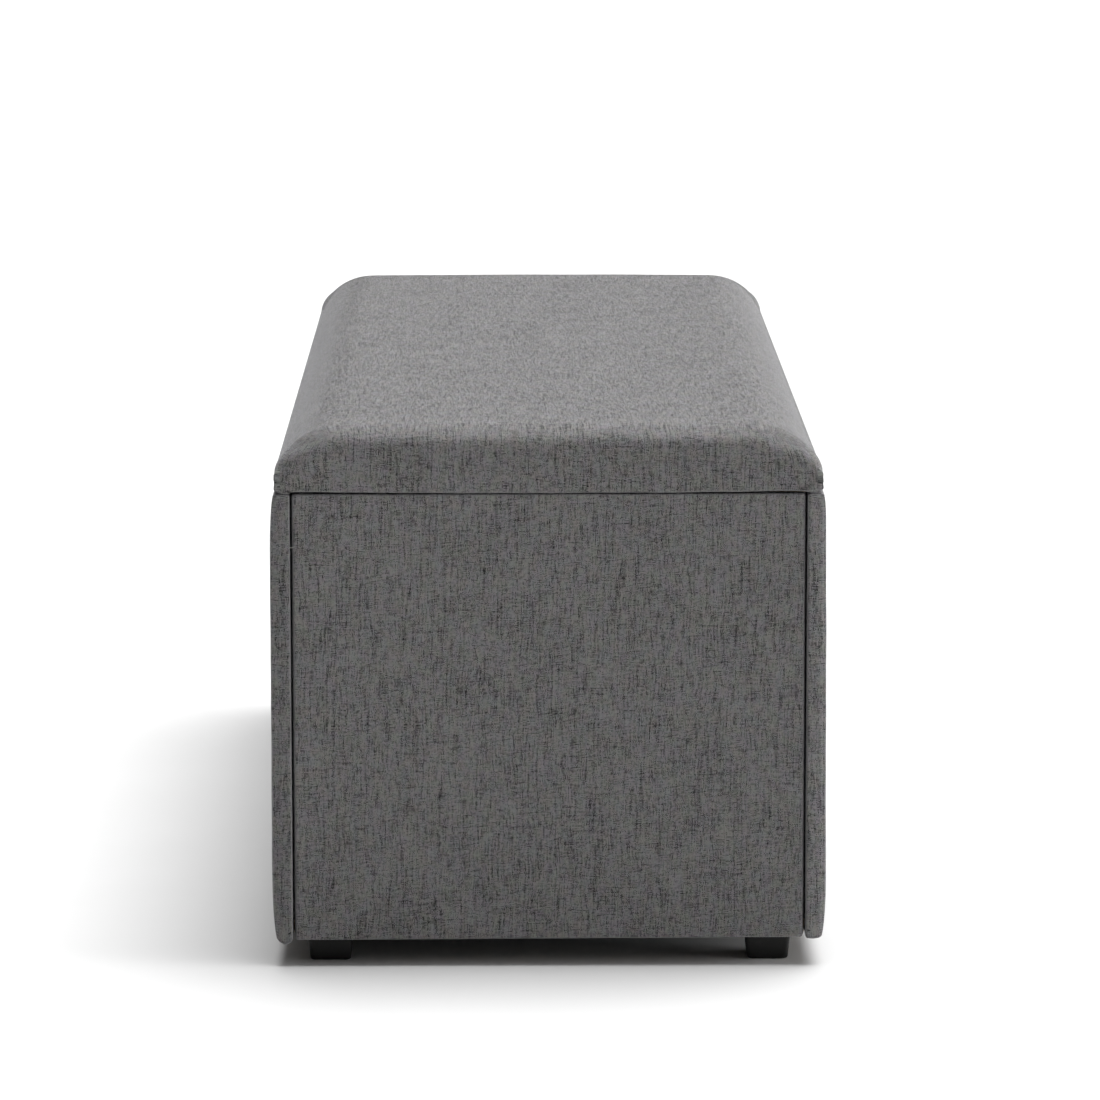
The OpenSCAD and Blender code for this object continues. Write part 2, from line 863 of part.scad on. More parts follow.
hinge_lid_leaf(-1);  // left_hinge_lid_leaf
hinge_lid_leaf(1);  // right_hinge_lid_leaf
hinge_lid_screws();
stay_lid_bracket(-1);  // left_stay_lid_bracket
stay_lid_bracket(1);  // right_stay_lid_bracket
stay_lid_screws();
stay_lid_rivets();
stay_arm(-1);  // left_stay_arm
stay_arm(1);  // right_stay_arm
elbow_rivet(-1);  // left_elbow_rivet
elbow_rivet(1);  // right_elbow_rivet
stay_link(-1);  // left_stay_link
stay_link(1);  // right_stay_link
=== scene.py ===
"""The looks of an upholstered storage bench: linen covers over boards and foam, a lined box, a
hinged lid with a stay at each end, and black plastic feet. Metres throughout."""

import math
import random

import bpy
import numpy as np
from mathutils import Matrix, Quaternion, Vector, noise


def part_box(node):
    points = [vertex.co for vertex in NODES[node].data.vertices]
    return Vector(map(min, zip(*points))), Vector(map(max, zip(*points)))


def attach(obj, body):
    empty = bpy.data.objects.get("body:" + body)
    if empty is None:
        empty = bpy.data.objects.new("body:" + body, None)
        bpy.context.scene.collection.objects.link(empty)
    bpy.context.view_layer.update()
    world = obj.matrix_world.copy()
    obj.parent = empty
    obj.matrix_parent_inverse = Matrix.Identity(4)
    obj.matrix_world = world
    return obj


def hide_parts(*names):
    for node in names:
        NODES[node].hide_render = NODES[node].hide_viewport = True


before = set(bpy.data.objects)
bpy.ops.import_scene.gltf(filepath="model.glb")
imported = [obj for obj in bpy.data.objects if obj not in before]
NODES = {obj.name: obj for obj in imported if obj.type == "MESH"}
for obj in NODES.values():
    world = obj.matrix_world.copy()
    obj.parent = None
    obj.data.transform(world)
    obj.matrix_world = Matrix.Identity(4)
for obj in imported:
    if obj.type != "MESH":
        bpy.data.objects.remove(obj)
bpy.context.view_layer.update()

MM = 0.001

# ------------ places, from the frame

LID_LOW, LID_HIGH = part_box("lid_cover")
END_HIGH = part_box("right_end_cover")[1]
LONG_LOW, LONG_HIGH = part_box("back_cover")
BOARD_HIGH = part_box("back_board")[1]
LID_BOARD_LOW, LID_BOARD_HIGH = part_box("lid_board")
FOAM_LOW, FOAM_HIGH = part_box("lid_foam")
HALF_X = LID_HIGH.x
RIM_Z = LONG_HIGH.z

CLOTH = 0.45 * MM         # thickness of the linen
CROWN = LONG_HIGH.y - LID_HIGH.y    # how far the long covers swell past the lid's sides
HEM = 25 * MM             # cloth turned in behind a panel
LID_HEM = 30 * MM         # cloth turned in under the lid


# ------------ camera, light and floor

CAMERA_FROM_RIM = (4.198, -0.0281, 0.620)    # from the middle of the near end's rim
CAMERA_PITCH, CAMERA_YAW, CAMERA_ROLL = 8.972, 0.396, -0.07    # degrees
LENS_MM, SENSOR_MM = 182.9, 36


def add_object(name, data):
    made = bpy.data.objects.new(name, data)
    bpy.context.scene.collection.objects.link(made)
    return made


def point_at(thing, toward, roll=0):
    """Turns a camera or a light to look that way, rolled by that many degrees."""
    thing.rotation_mode = "QUATERNION"
    roll = Quaternion((0, 0, 1), math.radians(roll))
    thing.rotation_quaternion = Vector(toward).to_track_quat("-Z", "Y") @ roll


def make_camera():
    """A long lens at the +X end, a little above the bench, looking along it and down."""
    data = bpy.data.cameras.new("camera")
    data.lens = LENS_MM
    data.sensor_width = SENSOR_MM
    data.clip_end = 200
    camera = add_object("camera", data)
    beyond, across, above = CAMERA_FROM_RIM
    camera.location = (HALF_X + beyond, across, RIM_Z + above)
    pitch = math.radians(CAMERA_PITCH)
    yaw = math.radians(CAMERA_YAW)
    level = math.cos(pitch)
    ahead = (-level * math.cos(yaw), level * math.sin(yaw), -math.sin(pitch))
    point_at(camera, ahead, CAMERA_ROLL)
    bpy.context.scene.camera = camera


def make_sun(name, strength, toward, spread):
    """A broad, distant light shining in the direction `toward`, `spread` degrees across."""
    data = bpy.data.lights.new(name, "SUN")
    data.energy = strength
    data.angle = math.radians(spread)
    point_at(add_object(name, data), toward)


def make_world(horizon, zenith):
    """A soft glow that grows from the horizon to overhead. The camera sees plain white."""
    world = bpy.data.worlds.new("studio")
    bpy.context.scene.world = world
    s = Nodes(world)
    height = s.part(s.node("TexCoord").outputs["Generated"], 2)
    glow = s.node("Background", {"Strength": s.ramp(height, 0.05, 1.0, horizon, zenith)}).outputs[0]
    white = s.node("Background", {"Strength": 1.0}).outputs[0]
    seen = s.node("LightPath").outputs["Is Camera Ray"]
    s.node("OutputWorld", {0: s.node("MixShader", {0: seen, 1: glow, 2: white}).outputs[0]})


# ------------ material helpers

class Nodes:
    """The node tree of a material or world, with short calls for the nodes used here."""

    def __init__(self, owner):
        owner.use_nodes = True
        self.tree = owner.node_tree
        self.tree.nodes.clear()

    def feed(self, socket, value):
        if isinstance(value, bpy.types.NodeSocket):
            self.tree.links.new(value, socket)
        else:
            socket.default_value = value

    def node(self, kind, inputs=(), **settings):
        made = self.tree.nodes.new("ShaderNode" + kind)
        for key, value in settings.items():
            setattr(made, key, value)
        for key, value in dict(inputs).items():
            self.feed(made.inputs[key], value)
        return made

    def math(self, operation, a, b=0.0):
        return self.node("Math", {0: a, 1: b}, operation=operation).outputs[0]

    def plus(self, a, b):
        return self.math("ADD", a, b)

    def times(self, a, b):
        return self.math("MULTIPLY", a, b)

    def ramp(self, value, low, high, to_low=0.0, to_high=1.0):
        inputs = {0: value, 1: low, 2: high, 3: to_low, 4: to_high}
        return self.node("MapRange", inputs, interpolation_type="SMOOTHSTEP").outputs[0]

    def vectors(self, operation, a, b):
        return self.node("VectorMath", {0: a, 1: b}, operation=operation).outputs[0]

    def stretched(self, vector, scale):
        return self.vectors("MULTIPLY", vector, scale)

    def turned(self, vector, angle):
        inputs = {"Vector": vector, "Angle": angle}
        return self.node("VectorRotate", inputs, rotation_type="Z_AXIS").outputs[0]

    def part(self, vector, axis):
        return self.node("SeparateXYZ", {0: vector}).outputs[axis]

    def noise(self, vector, scale, detail=2.0, rough=0.5):
        inputs = {"Vector": vector, "Scale": scale, "Detail": detail, "Roughness": rough}
        return self.node("TexNoise", inputs).outputs["Fac"]

    def streaks(self, vector, wide, tall, low, high, to_low=0.0, to_high=1.0):
        """Noise in patches about that wide and tall, from to_low to to_high."""
        patches = self.noise(self.stretched(vector, (1 / wide, 1 / tall, 1)), 1.0, 2.0, 0.6)
        return self.ramp(patches, low, high, to_low, to_high)

    def total(self, weighted):
        """The sum of values times their weights."""
        whole = 0.0
        for value, weight in weighted:
            whole = self.plus(whole, self.times(value, weight))
        return whole

    def mix(self, amount, a, b, blend="MIX"):
        made = self.node("Mix", {0: amount}, data_type="RGBA", blend_type=blend)
        self.feed(made.inputs[6], a)
        self.feed(made.inputs[7], b)
        return made.outputs[2]

    def object_place(self):
        return self.node("TexCoord").outputs["Object"]


class Shader(Nodes):
    """A material's nodes, round one principled shader."""

    def __init__(self, name):
        self.material = bpy.data.materials.new(name)
        super().__init__(self.material)
        self.bsdf = self.node("BsdfPrincipled")
        self.node("OutputMaterial", {0: self.bsdf.outputs[0]})

    def bump(self, height, distance, strength):
        inputs = {"Height": height, "Distance": distance, "Strength": strength}
        self.feed(self.bsdf.inputs["Normal"], self.node("Bump", inputs).outputs[0])

    def set(self, **values):
        for key, value in values.items():
            self.feed(self.bsdf.inputs[key.replace("_", " ")], value)


def shaded(colour, factor=1.0):
    """A colour with its alpha, lighter or darker by a factor."""
    return (*[c * factor for c in colour], 1)


WARP_PITCH = 0.84         # millimetres between the linen's yarns
WEFT_PITCH = 0.88
WARP_SLANT = 0.012        # radians by which the yarns run off square to the panel
WEFT_SLANT = 0.06         # and the weft to the warp
LINEN_LIGHT = (0.200, 0.1975, 0.1940)
LINEN_BLACK = (0.0, 0.0, 0.0)
LINEN_TINTS = ((1.045, 0.975, 1.015), (0.97, 1.02, 0.99), (1.01, 1.01, 0.95), (0.99, 0.99, 1.05))
SHEEN = 0.42
SHEEN_TINT = (0.90, 0.905, 0.94)


def yarn_tone(s, number, along, length):
    """The tone of a yarn, which changes along it about every `length` millimetres."""
    place = s.node("CombineXYZ", {0: s.times(number, 7.31), 1: s.times(along, 1 / length)}).outputs[0]
    return s.ramp(s.noise(place, 1.0, 3.0, 0.65), 0.36, 0.62)


def woven(s, column, row, warp, weft):
    """The warp's tone on every other crossing and the weft's on the rest."""
    parity = s.math("MODULO", s.math("ABSOLUTE", s.plus(column, row)), 2.0)
    return s.plus(s.times(parity, warp), s.times(s.math("SUBTRACT", 1.0, parity), weft))


def linen_tint(s, yarns):
    """Patches a little more purple, green, ochre or blue than the rest."""
    purple, green, ochre, blue = [shaded(tint) for tint in LINEN_TINTS]
    across = s.ramp(s.noise(yarns, 0.11, 3.0, 0.65), 0.36, 0.64)
    along = s.ramp(s.noise(s.stretched(yarns, (0.09, 0.05, 1)), 1.3, 3.0, 0.65), 0.36, 0.64)
    return s.mix(1.0, s.mix(across, purple, green), s.mix(along, ochre, blue), "MULTIPLY")


def linen():
    """Heathered grey linen in a plain weave: every yarn changes tone along its length, and some
    run dark for a stretch. u runs along the weft and v along the warp, in millimetres."""
    s = Shader("linen")
    flat = s.node("UVMap", uv_map="weave").outputs[0]
    mm = s.stretched(flat, (1000, 1000, 0))
    wander = s.node("TexNoise", {"Vector": mm, "Scale": 0.03, "Detail": 1.0}).outputs["Color"]
    shift = s.stretched(s.vectors("SUBTRACT", wander, (0.5, 0.5, 0.5)), (5, 5, 5))
    yarns = s.turned(s.vectors("ADD", mm, shift), WARP_SLANT)
    slanted = s.turned(yarns, -WEFT_SLANT)
    u = s.times(s.part(yarns, 0), 1 / WARP_PITCH)
    v = s.times(s.part(slanted, 1), 1 / WEFT_PITCH)
    column = s.math("FLOOR", u)
    row = s.math("FLOOR", v)
    warp = yarn_tone(s, column, s.part(yarns, 1), 13.0)
    weft = yarn_tone(s, s.plus(row, 0.37), s.part(slanted, 0), 8.0)
    cell = s.node("CombineXYZ", {0: column, 1: row}).outputs[0]
    speck = s.node("TexWhiteNoise", {"Vector": cell}, noise_dimensions="2D").outputs["Value"]
    tone = s.total([
        (woven(s, column, row, warp, weft), 0.37),
        (speck, 0.30),
        (s.streaks(yarns, 1.5, 40.0, 0.34, 0.52), 0.19),       # slubs along the warp
        (s.streaks(slanted, 30.0, 1.2, 0.31, 0.45), 0.15),     # and along the weft
        (s.ramp(s.noise(yarns, 0.022, 2.0, 0.5), 0.32, 0.68), 0.06),
    ])
    # painted shade: upward faces get stronger long streaks, standing in for the shading of the yarns'
    # relief seen at a grazing angle
    upward = s.part(s.node("TexCoord").outputs["Normal"], 2)
    painted_yarn_shade = s.streaks(yarns, 1.1, 22.0, 0.36, 0.64, -0.17, 0.17)
    tone = s.plus(tone, s.times(painted_yarn_shade, s.ramp(upward, 0.75, 0.97)))
    tone = s.ramp(tone, 0.11, 0.99)
    grey = s.mix(tone, shaded(LINEN_BLACK), shaded(LINEN_LIGHT))
    s.set(Base_Color=s.mix(1.0, grey, linen_tint(s, yarns), "MULTIPLY"), Roughness=0.95)
    s.set(Specular_IOR_Level=0.15)
    s.set(Sheen_Weight=SHEEN, Sheen_Roughness=0.5, Sheen_Tint=shaded(SHEEN_TINT))
    wave_u = s.math("SINE", s.times(u, math.pi))
    wave_v = s.math("SINE", s.times(v, math.pi))
    crests = s.math("ABSOLUTE", s.times(wave_u, wave_v))
    s.bump(s.plus(crests, s.times(tone, 1.2)), 0.16 * MM, 0.9)
    return s.material


def non_woven(name, shade, fibre):
    """Thin black spunbond cloth with its grid of pressed dots."""
    s = Shader(name)
    place = s.object_place()
    fibres = s.noise(s.stretched(place, (1000, 1000, 1000)), 1.6, 4.0, 0.7)
    cells = s.node("TexVoronoi", {"Vector": place, "Scale": 480.0, "Randomness": 0.12})
    dots = s.ramp(cells.outputs["Distance"], 0.16, 0.30)
    pressed = s.plus(s.times(dots, 0.5), 0.5)
    tone = s.times(s.ramp(fibres, 0.3, 0.7), pressed)
    s.set(Base_Color=s.mix(tone, (shade, shade, shade, 1), (fibre, fibre, fibre * 1.04, 1)))
    s.set(Roughness=s.ramp(dots, 0, 1, 0.45, 0.85), Sheen_Weight=0.12)
    s.bump(s.plus(dots, fibres), 0.12 * MM, 0.7)
    return s.material


TWO_PLIES = 2.8 * MM
# light and dark colour, millimetres between the rings, and how much the pores show
BIRCH = ((0.60, 0.43, 0.26), (0.42, 0.27, 0.14), 9, 0.25)
PINE = ((0.68, 0.49, 0.28), (0.50, 0.31, 0.14), 6, 0.3)


def wood(name, kind, along, layered=None):
    """Grain running along one axis; `layered` is the axis that plywood's layers stack along."""
    light, dark, ring_mm, pores = kind
    s = Shader(name)
    place = s.object_place()
    squeeze = [1000 / ring_mm] * 3
    squeeze[along] = 1000 / (ring_mm * 14)
    warped = s.noise(s.stretched(place, squeeze), 0.35, 3.0, 0.6)
    rings = s.node("TexWave", {
        "Vector": s.stretched(place, squeeze), "Scale": 0.16, "Distortion": 7.0, "Detail": 3.0,
    }, wave_type="BANDS", bands_direction="DIAGONAL").outputs["Fac"]
    fine = [2600] * 3
    fine[along] = 60
    pore = s.ramp(s.noise(s.stretched(place, fine), 1.0, 2.0, 0.6), 0.36, 0.5)
    tone = s.plus(s.times(rings, 0.55), s.times(warped, 0.45))
    colour = s.mix(tone, shaded(light), shaded(dark))
    pitted = s.times(s.math("SUBTRACT", 1.0, pore), pores)
    colour = s.mix(pitted, colour, shaded(dark, 0.45))
    if layered is not None:
        ply = s.math("SINE", s.times(s.part(place, layered), 2 * math.pi / TWO_PLIES))
        colour = s.mix(s.ramp(ply, 0.3, 0.7, 0.0, 0.35), colour, shaded(dark, 0.6))
    s.set(Base_Color=colour, Roughness=s.ramp(tone, 0, 1, 0.55, 0.72))
    s.bump(s.plus(tone, pore), 0.15 * MM, 0.5)
    return s.material


def metal(name, colour, rough, brushed_along=0):
    """Zinc-plated steel: faint blotches and fine brushing."""
    s = Shader(name)
    place = s.object_place()
    stroke = [5200] * 3
    stroke[brushed_along] = 160
    brush = s.noise(s.stretched(place, stroke), 1.0, 2.0, 0.6)
    blotch = s.noise(place, 160.0, 3.0, 0.6)
    shade = s.mix(s.ramp(blotch, 0.3, 0.7), shaded(colour), shaded(colour, 0.84))
    roughness = s.ramp(brush, 0.3, 0.7, rough - 0.07, rough + 0.1)
    s.set(Base_Color=shade, Metallic=1.0, Roughness=roughness)
    s.bump(brush, 0.02 * MM, 0.4)
    return s.material


def moulded(name, shade, rough):
    """Black moulded plastic or rubber with a fine spark-eroded grain."""
    s = Shader(name)
    place = s.object_place()
    grain = s.noise(place, 1000 / 0.6, 3.0, 0.6)
    scuff = s.ramp(s.noise(place, 90.0, 4.0, 0.7), 0.52, 0.74)
    worn = [c * 2.2 + 0.004 for c in shade]
    s.set(Base_Color=s.mix(s.times(scuff, 0.5), shaded(shade), shaded(worn)))
    s.set(Roughness=s.ramp(grain, 0.3, 0.7, rough - 0.08, rough + 0.12), Specular_IOR_Level=0.35)
    s.bump(grain, 0.05 * MM, 0.5)
    return s.material


def foam(name, light, dark, cell_mm):
    """Open-cell foam or wadding: small pits of uneven size."""
    s = Shader(name)
    place = s.object_place()
    cells = s.node("TexVoronoi", {"Vector": place, "Scale": 1000 / cell_mm}).outputs["Distance"]
    fluff = s.noise(place, 240.0, 4.0, 0.6)
    tone = s.times(s.ramp(cells, 0.1, 0.5), s.ramp(fluff, 0.25, 0.75))
    s.set(Base_Color=s.mix(tone, shaded(dark), shaded(light)), Roughness=0.95)
    s.bump(cells, 0.4 * MM, 0.8)
    return s.material


def floor_paint():
    """Pale matt paint."""
    s = Shader("floor")
    speck = s.noise(s.object_place(), 6.0, 3.0, 0.5)
    s.set(Base_Color=s.mix(s.ramp(speck, 0.3, 0.7), shaded([0.70] * 3), shaded([0.71] * 3)))
    s.set(Roughness=0.9, Specular_IOR_Level=0.1)
    return s.material


# ------------ mesh helpers

def make_piece(name, points, faces, material, body, uvs=None, smooth=True):
    mesh = bpy.data.meshes.new(name)
    mesh.from_pydata([tuple(p) for p in points], [], faces)
    if uvs is not None:
        layer = mesh.uv_layers.new(name="weave")
        layer.data.foreach_set("uv", np.asarray(uvs, np.float32).ravel())
    mesh.polygons.foreach_set("use_smooth", [smooth] * len(mesh.polygons))
    mesh.materials.append(material)
    piece = add_object(name, mesh)
    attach(piece, body)
    return piece


def modify(piece, kind, **settings):
    """Applies a modifier to a piece's mesh."""
    modifier = piece.modifiers.new(kind, kind)
    for key, value in settings.items():
        setattr(modifier, key, value)
    shown = bpy.context.evaluated_depsgraph_get()
    mesh = bpy.data.meshes.new_from_object(piece.evaluated_get(shown), depsgraph=shown)
    piece.modifiers.clear()
    piece.data = mesh


def subdivide(piece):
    modify(piece, "SUBSURF", levels=1, render_levels=1, uv_smooth="NONE")


def thicken(piece):
    """Gives a sheet the cloth's thickness, inwards."""
    modify(piece, "SOLIDIFY", thickness=CLOTH, offset=-1)


def get_points(piece):
    flat = np.empty(len(piece.data.vertices) * 3)
    piece.data.vertices.foreach_get("co", flat)
    return flat.reshape(-1, 3)


def set_points(piece, points):
    piece.data.vertices.foreach_set("co", np.asarray(points).ravel())
    piece.data.update()


def arc_offsets(radius, steps=3):
    """Distances from an edge at which lattice lines follow a round of that radius evenly."""
    return [radius * (1 - math.tan(math.radians(45 * (1 - i / steps)))) for i in range(steps + 1)]


def lines(low, high, start, fine, zone, coarse, growth=1.35):
    """Lattice lines: `start` offsets at both ends, fine steps over a zone, then growing ones."""
    half = (high - low) / 2
    offsets, step = list(start), fine
    while offsets[-1] + step < half:
        offsets.append(offsets[-1] + step)
        if offsets[-1] > zone:
            step = min(coarse, step * growth)
    if half - offsets[-1] < 0.4 * step and len(offsets) > len(start) + 1:
        offsets.pop()
    return from_both_ends(low, high, offsets, [(low + high) / 2])


def from_both_ends(low, high, offsets, between=()):
    """Places at those offsets in from both ends, with others between them."""
    return np.array([low + t for t in offsets] + list(between) + [high - t for t in reversed(offsets)])


def lattice_box(axes, main, hem, warp_axis):
    """Quads over a box with lattice lines `axes`, one array for each of x, y and z.
    main = (axis, side) is the face that shows; the face opposite keeps only a hem of that width,
    or is left whole if hem is None. Each corner of a face gets its place on the flat cloth, with
    the warp, which is v, along warp_axis. Returns points, faces and those places."""
    index, points, faces, uvs = {}, [], [], []
    main_axis, main_side = main
    shown = axes[main_axis][-1 if main_side > 0 else 0]
    in_plane = [a for a in range(3) if a != main_axis]
    weft_axis = next(a for a in in_plane if a != warp_axis)

    def place_of(key):
        return [line[i] for line, i in zip(axes, key)]

    def vertex(key):
        if key not in index:
            index[key] = len(points)
            points.append(place_of(key))
        return index[key]

    def on_cloth(key, axis, side):
        place = place_of(key)
        depth = abs(place[main_axis] - shown)
        if axis in in_plane:
            place[axis] += side * depth
        return [place[weft_axis], place[warp_axis]]

    def past_hem(b, j, c, k):
        across = (axes[b][j] + axes[b][j + 1]) / 2
        along = (axes[c][k] + axes[c][k + 1]) / 2
        inset = min(min(m - axes[a][0], axes[a][-1] - m) for m, a in ((across, b), (along, c)))
        return inset > hem

    for axis in range(3):
        b, c = (axis + 1) % 3, (axis + 2) % 3
        for side in (-1, 1):
            opposite = axis == main_axis and side == -main_side
            layer = len(axes[axis]) - 1 if side > 0 else 0
            for j, k in np.ndindex(len(axes[b]) - 1, len(axes[c]) - 1):
                if opposite and hem is not None and past_hem(b, j, c, k):
                    continue
                keys = []
                for dj, dk in ((0, 0), (1, 0), (1, 1), (0, 1)):
                    key = [0, 0, 0]
                    key[axis], key[b], key[c] = layer, j + dj, k + dk
                    keys.append(tuple(key))
                if side < 0:
                    keys.reverse()
                faces.append([vertex(key) for key in keys])
                uvs.extend(on_cloth(key, axis, side) for key in keys)
    return np.array(points), faces, uvs


def round_edges(points, radius, lower_only=False):
    """Turns the sharp edges of a lattice box into rounds, or only those at its bottom."""
    low, high = points.min(0), points.max(0)
    inner = np.clip(points, low + radius, high - radius)
    away = points - inner
    length = np.linalg.norm(away, axis=1, keepdims=True)
    rounded = inner + away * np.minimum(1, radius / np.maximum(length, 1e-12))
    kept = lower_only and points[:, 2:] >= low[2] + radius
    return np.where(kept, points, rounded)


def waves(points, size, seed, octaves=2):
    """Smooth noise from about -1 to 1 at each point, with bumps of about that size."""
    offset = Vector((seed * 7.31, seed * 3.17, seed * 5.77))
    return np.array([
        noise.fractal(Vector(p) / size + offset, 0.9, 2.1, octaves, noise_basis="PERLIN_ORIGINAL")
        for p in points
    ])


def falloff(distance, reach):
    """1 at no distance, easing to 0 at reach."""
    return np.clip(1 - (distance / reach) ** 2, 0, 1) ** 2


def near(distance, reach):
    """1 at no distance, falling evenly to 0 at reach."""
    return np.clip(1 - distance / reach, 0, 1)


def mirrored(points, faces, uvs=()):
    """Turns a piece made for the back into one for the front."""
    points[:, 1] *= -1
    faces = [face[::-1] for face in faces]
    uvs = [uvs[i + 3 - k] for i in range(0, len(uvs), 4) for k in range(4)]
    return points, faces, uvs


def lump(points, centre, reach, push):
    """Pushes the points near a centre. reach may be a number or one for each axis."""
    away = np.linalg.norm((points - np.array(centre)) / np.array(reach), axis=1)
    return points + falloff(away, 1.0)[:, None] * np.array(push)


# ------------ panel covers

PANEL_ROUND = 1.9 * MM
KNUCKLE = 2.6 * MM        # outer radius of the hinges' knuckles
KNUCKLE_ROOM = 3.15 * MM  # and of the room for them in the cloth


def clear_hinges(points):
    """Opens the cloth round the hinges' knuckles."""
    for name in ("left_hinge_box_leaf", "right_hinge_box_leaf"):
        low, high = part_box(name)
        axis = np.array([high.y, high.z]) - KNUCKLE
        middle, half = (low.x + high.x) / 2, (high.x - low.x) / 2 + 1.2 * MM
        beside = np.clip((half + 2 * MM - np.abs(points[:, 0] - middle)) / (2 * MM), 0, 1)
        away = points[:, 1:] - axis
        distance = np.maximum(np.linalg.norm(away, axis=1), 1e-9)
        push = beside * np.maximum(0, KNUCKLE_ROOM - distance) / distance
        points[:, 1:] += away * push[:, None]
    return points


def quarter_rise(distance, reach):
    """0 at an edge, rising over a quarter of an ellipse to 1."""
    t = np.clip(distance / reach, 0, 1)
    return np.sqrt(1 - (1 - t) ** 2)


def finish_cover(name):
    """Hides the CAD node of a panel's cover."""
    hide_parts(name + "_cover")


def make_end_cover(side, material):
    name = "right_end" if side > 0 else "left_end"
    low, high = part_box(name + "_cover")
    start = arc_offsets(PANEL_ROUND)
    xs = from_both_ends(low.x, high.x, start)
    ys, zs = [lines(low[a], high[a], start, 3 * MM, 12 * MM, 14 * MM) for a in (1, 2)]
    points, faces, uvs = lattice_box((xs, ys, zs), (0, side), HEM, 2)
    flat = points.copy()
    points = round_edges(points, PANEL_ROUND)
    # the cloth is drawn a little unevenly over the board
    out = (flat[:, 0] - (low.x if side > 0 else high.x)) / (high.x - low.x) * side
    edge = np.minimum(flat[:, 1] - low.y, high.y - flat[:, 1])
    edge = np.minimum(edge, np.minimum(flat[:, 2] - low.z, high.z - flat[:, 2]))
    inside = np.clip(edge / (25 * MM), 0, 1)
    puckers = waves(flat, 38 * MM, 11 + side)
    broad = waves(flat, 160 * MM, 21 + side, 1)
    points[:, 0] += side * out * MM * (0.35 * broad * inside + 0.2 * puckers + 0.55)
    # its lower edge hangs a little, more at one corner
    lean = side * flat[:, 1] / high.y
    points[:, 2] -= near(flat[:, 2] - low.z, 30 * MM) * MM * (0.2 * puckers + 0.4 - 0.7 * lean)
    # the turned cloth swells behind the panel's edges and closes the groove there
    at_flank = high.y - np.abs(flat[:, 1]) < 0.5 * MM
    behind = np.clip((0.75 - np.abs(out)) * 4, 0, 1)
    points[:, 1] += np.sign(flat[:, 1]) * (at_flank * behind) * 1.5 * MM
    piece = make_piece(name + "_linen", points, faces, material, "box", uvs)
    subdivide(piece)
    thicken(piece)
    finish_cover(name)


def long_side_rise(height, tall, side):
    """How far a long cover's padding stands out at each height: most in the middle, less at the
    rim, and least of all at the rim of the back."""
    rise = quarter_rise(height, 52 * MM)
    rise *= quarter_rise(tall - height, (20 if side > 0 else 45) * MM)
    return rise * (1.12 - (0.5 if side > 0 else 0.22) * (height / tall) ** 1.5)


def fold_ends(points, flat, low, inner, side, puckers):
    """Bulges a long cover's ends, and creases and bunches the cloth at its lower corners."""
    tip = np.abs(low.x) - np.abs(flat[:, 0])
    height = flat[:, 2] - low.z
    outer = np.clip((flat[:, 1] - inner) / (LID_HIGH.y - inner), 0, 1)
    bulge = 1.6 - 2.2 * outer ** 1.5 + 0.2 * puckers
    points[:, 0] += np.sign(flat[:, 0]) * near(tip, 3 * MM) * MM * bulge
    points[:, 2] -= near(height, 16 * MM) * MM * (0.5 + 0.5 * puckers)
    fold = np.exp(-((height - (13 + 2 * side) * MM) / (1.3 * MM)) ** 2)
    points[:, 0] -= np.sign(flat[:, 0]) * fold * near(tip, 6 * MM) * 0.8 * MM
    for end in (-1, 1):
        deep = 4.4 if side * end < 0 else 1.1
        corner = (-end * low.x, inner + 6 * MM, low.z)
        points = lump(points, corner, (12 * MM, 8.5 * MM, 13 * MM), (0, 0, -deep * MM))
    return points


def make_long_cover(side, material):
    """Made for the back, and mirrored for the front."""
    name = "back" if side > 0 else "front"
    low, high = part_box(name + "_cover")
    inner, outer = LONG_LOW.y, LID_HIGH.y
    start = arc_offsets(PANEL_ROUND)
    xs = lines(low.x, high.x, start, 2.5 * MM, 14 * MM, 16 * MM)
    ys = from_both_ends(inner, outer, start, [inner + (outer - inner) * t for t in (0.36, 0.5, 0.64)])
    zs = lines(low.z, high.z, start, 2.5 * MM, 20 * MM, 12 * MM)
    points, faces, uvs = lattice_box((xs, ys, zs), (1, 1), HEM, 2)
    flat = points.copy()
    points = round_edges(points, PANEL_ROUND)
    out = np.clip((flat[:, 1] - inner) / (outer - inner), 0, 1)
    rise = long_side_rise(flat[:, 2] - low.z, high.z - low.z, side)
    soft = 0.35 + 0.65 * quarter_rise(high.x - np.abs(flat[:, 0]), 7 * MM)
    puckers = waves(flat, 34 * MM, 31 + side)
    broad = waves(flat, 170 * MM, 41 + side, 1)
    uneven = MM * (0.30 * puckers + 0.45 * broad)
    points[:, 1] += out ** 1.5 * (CROWN * soft + uneven) * rise
    points = fold_ends(points, flat, low, inner, side, puckers)
    if side < 0:
        points, faces, uvs = mirrored(points, faces, uvs)
    piece = make_piece(name + "_linen", points, faces, material, "box", uvs)
    subdivide(piece)
    if side > 0:
        set_points(piece, clear_hinges(get_points(piece)))
    thicken(piece)
    finish_cover(name)


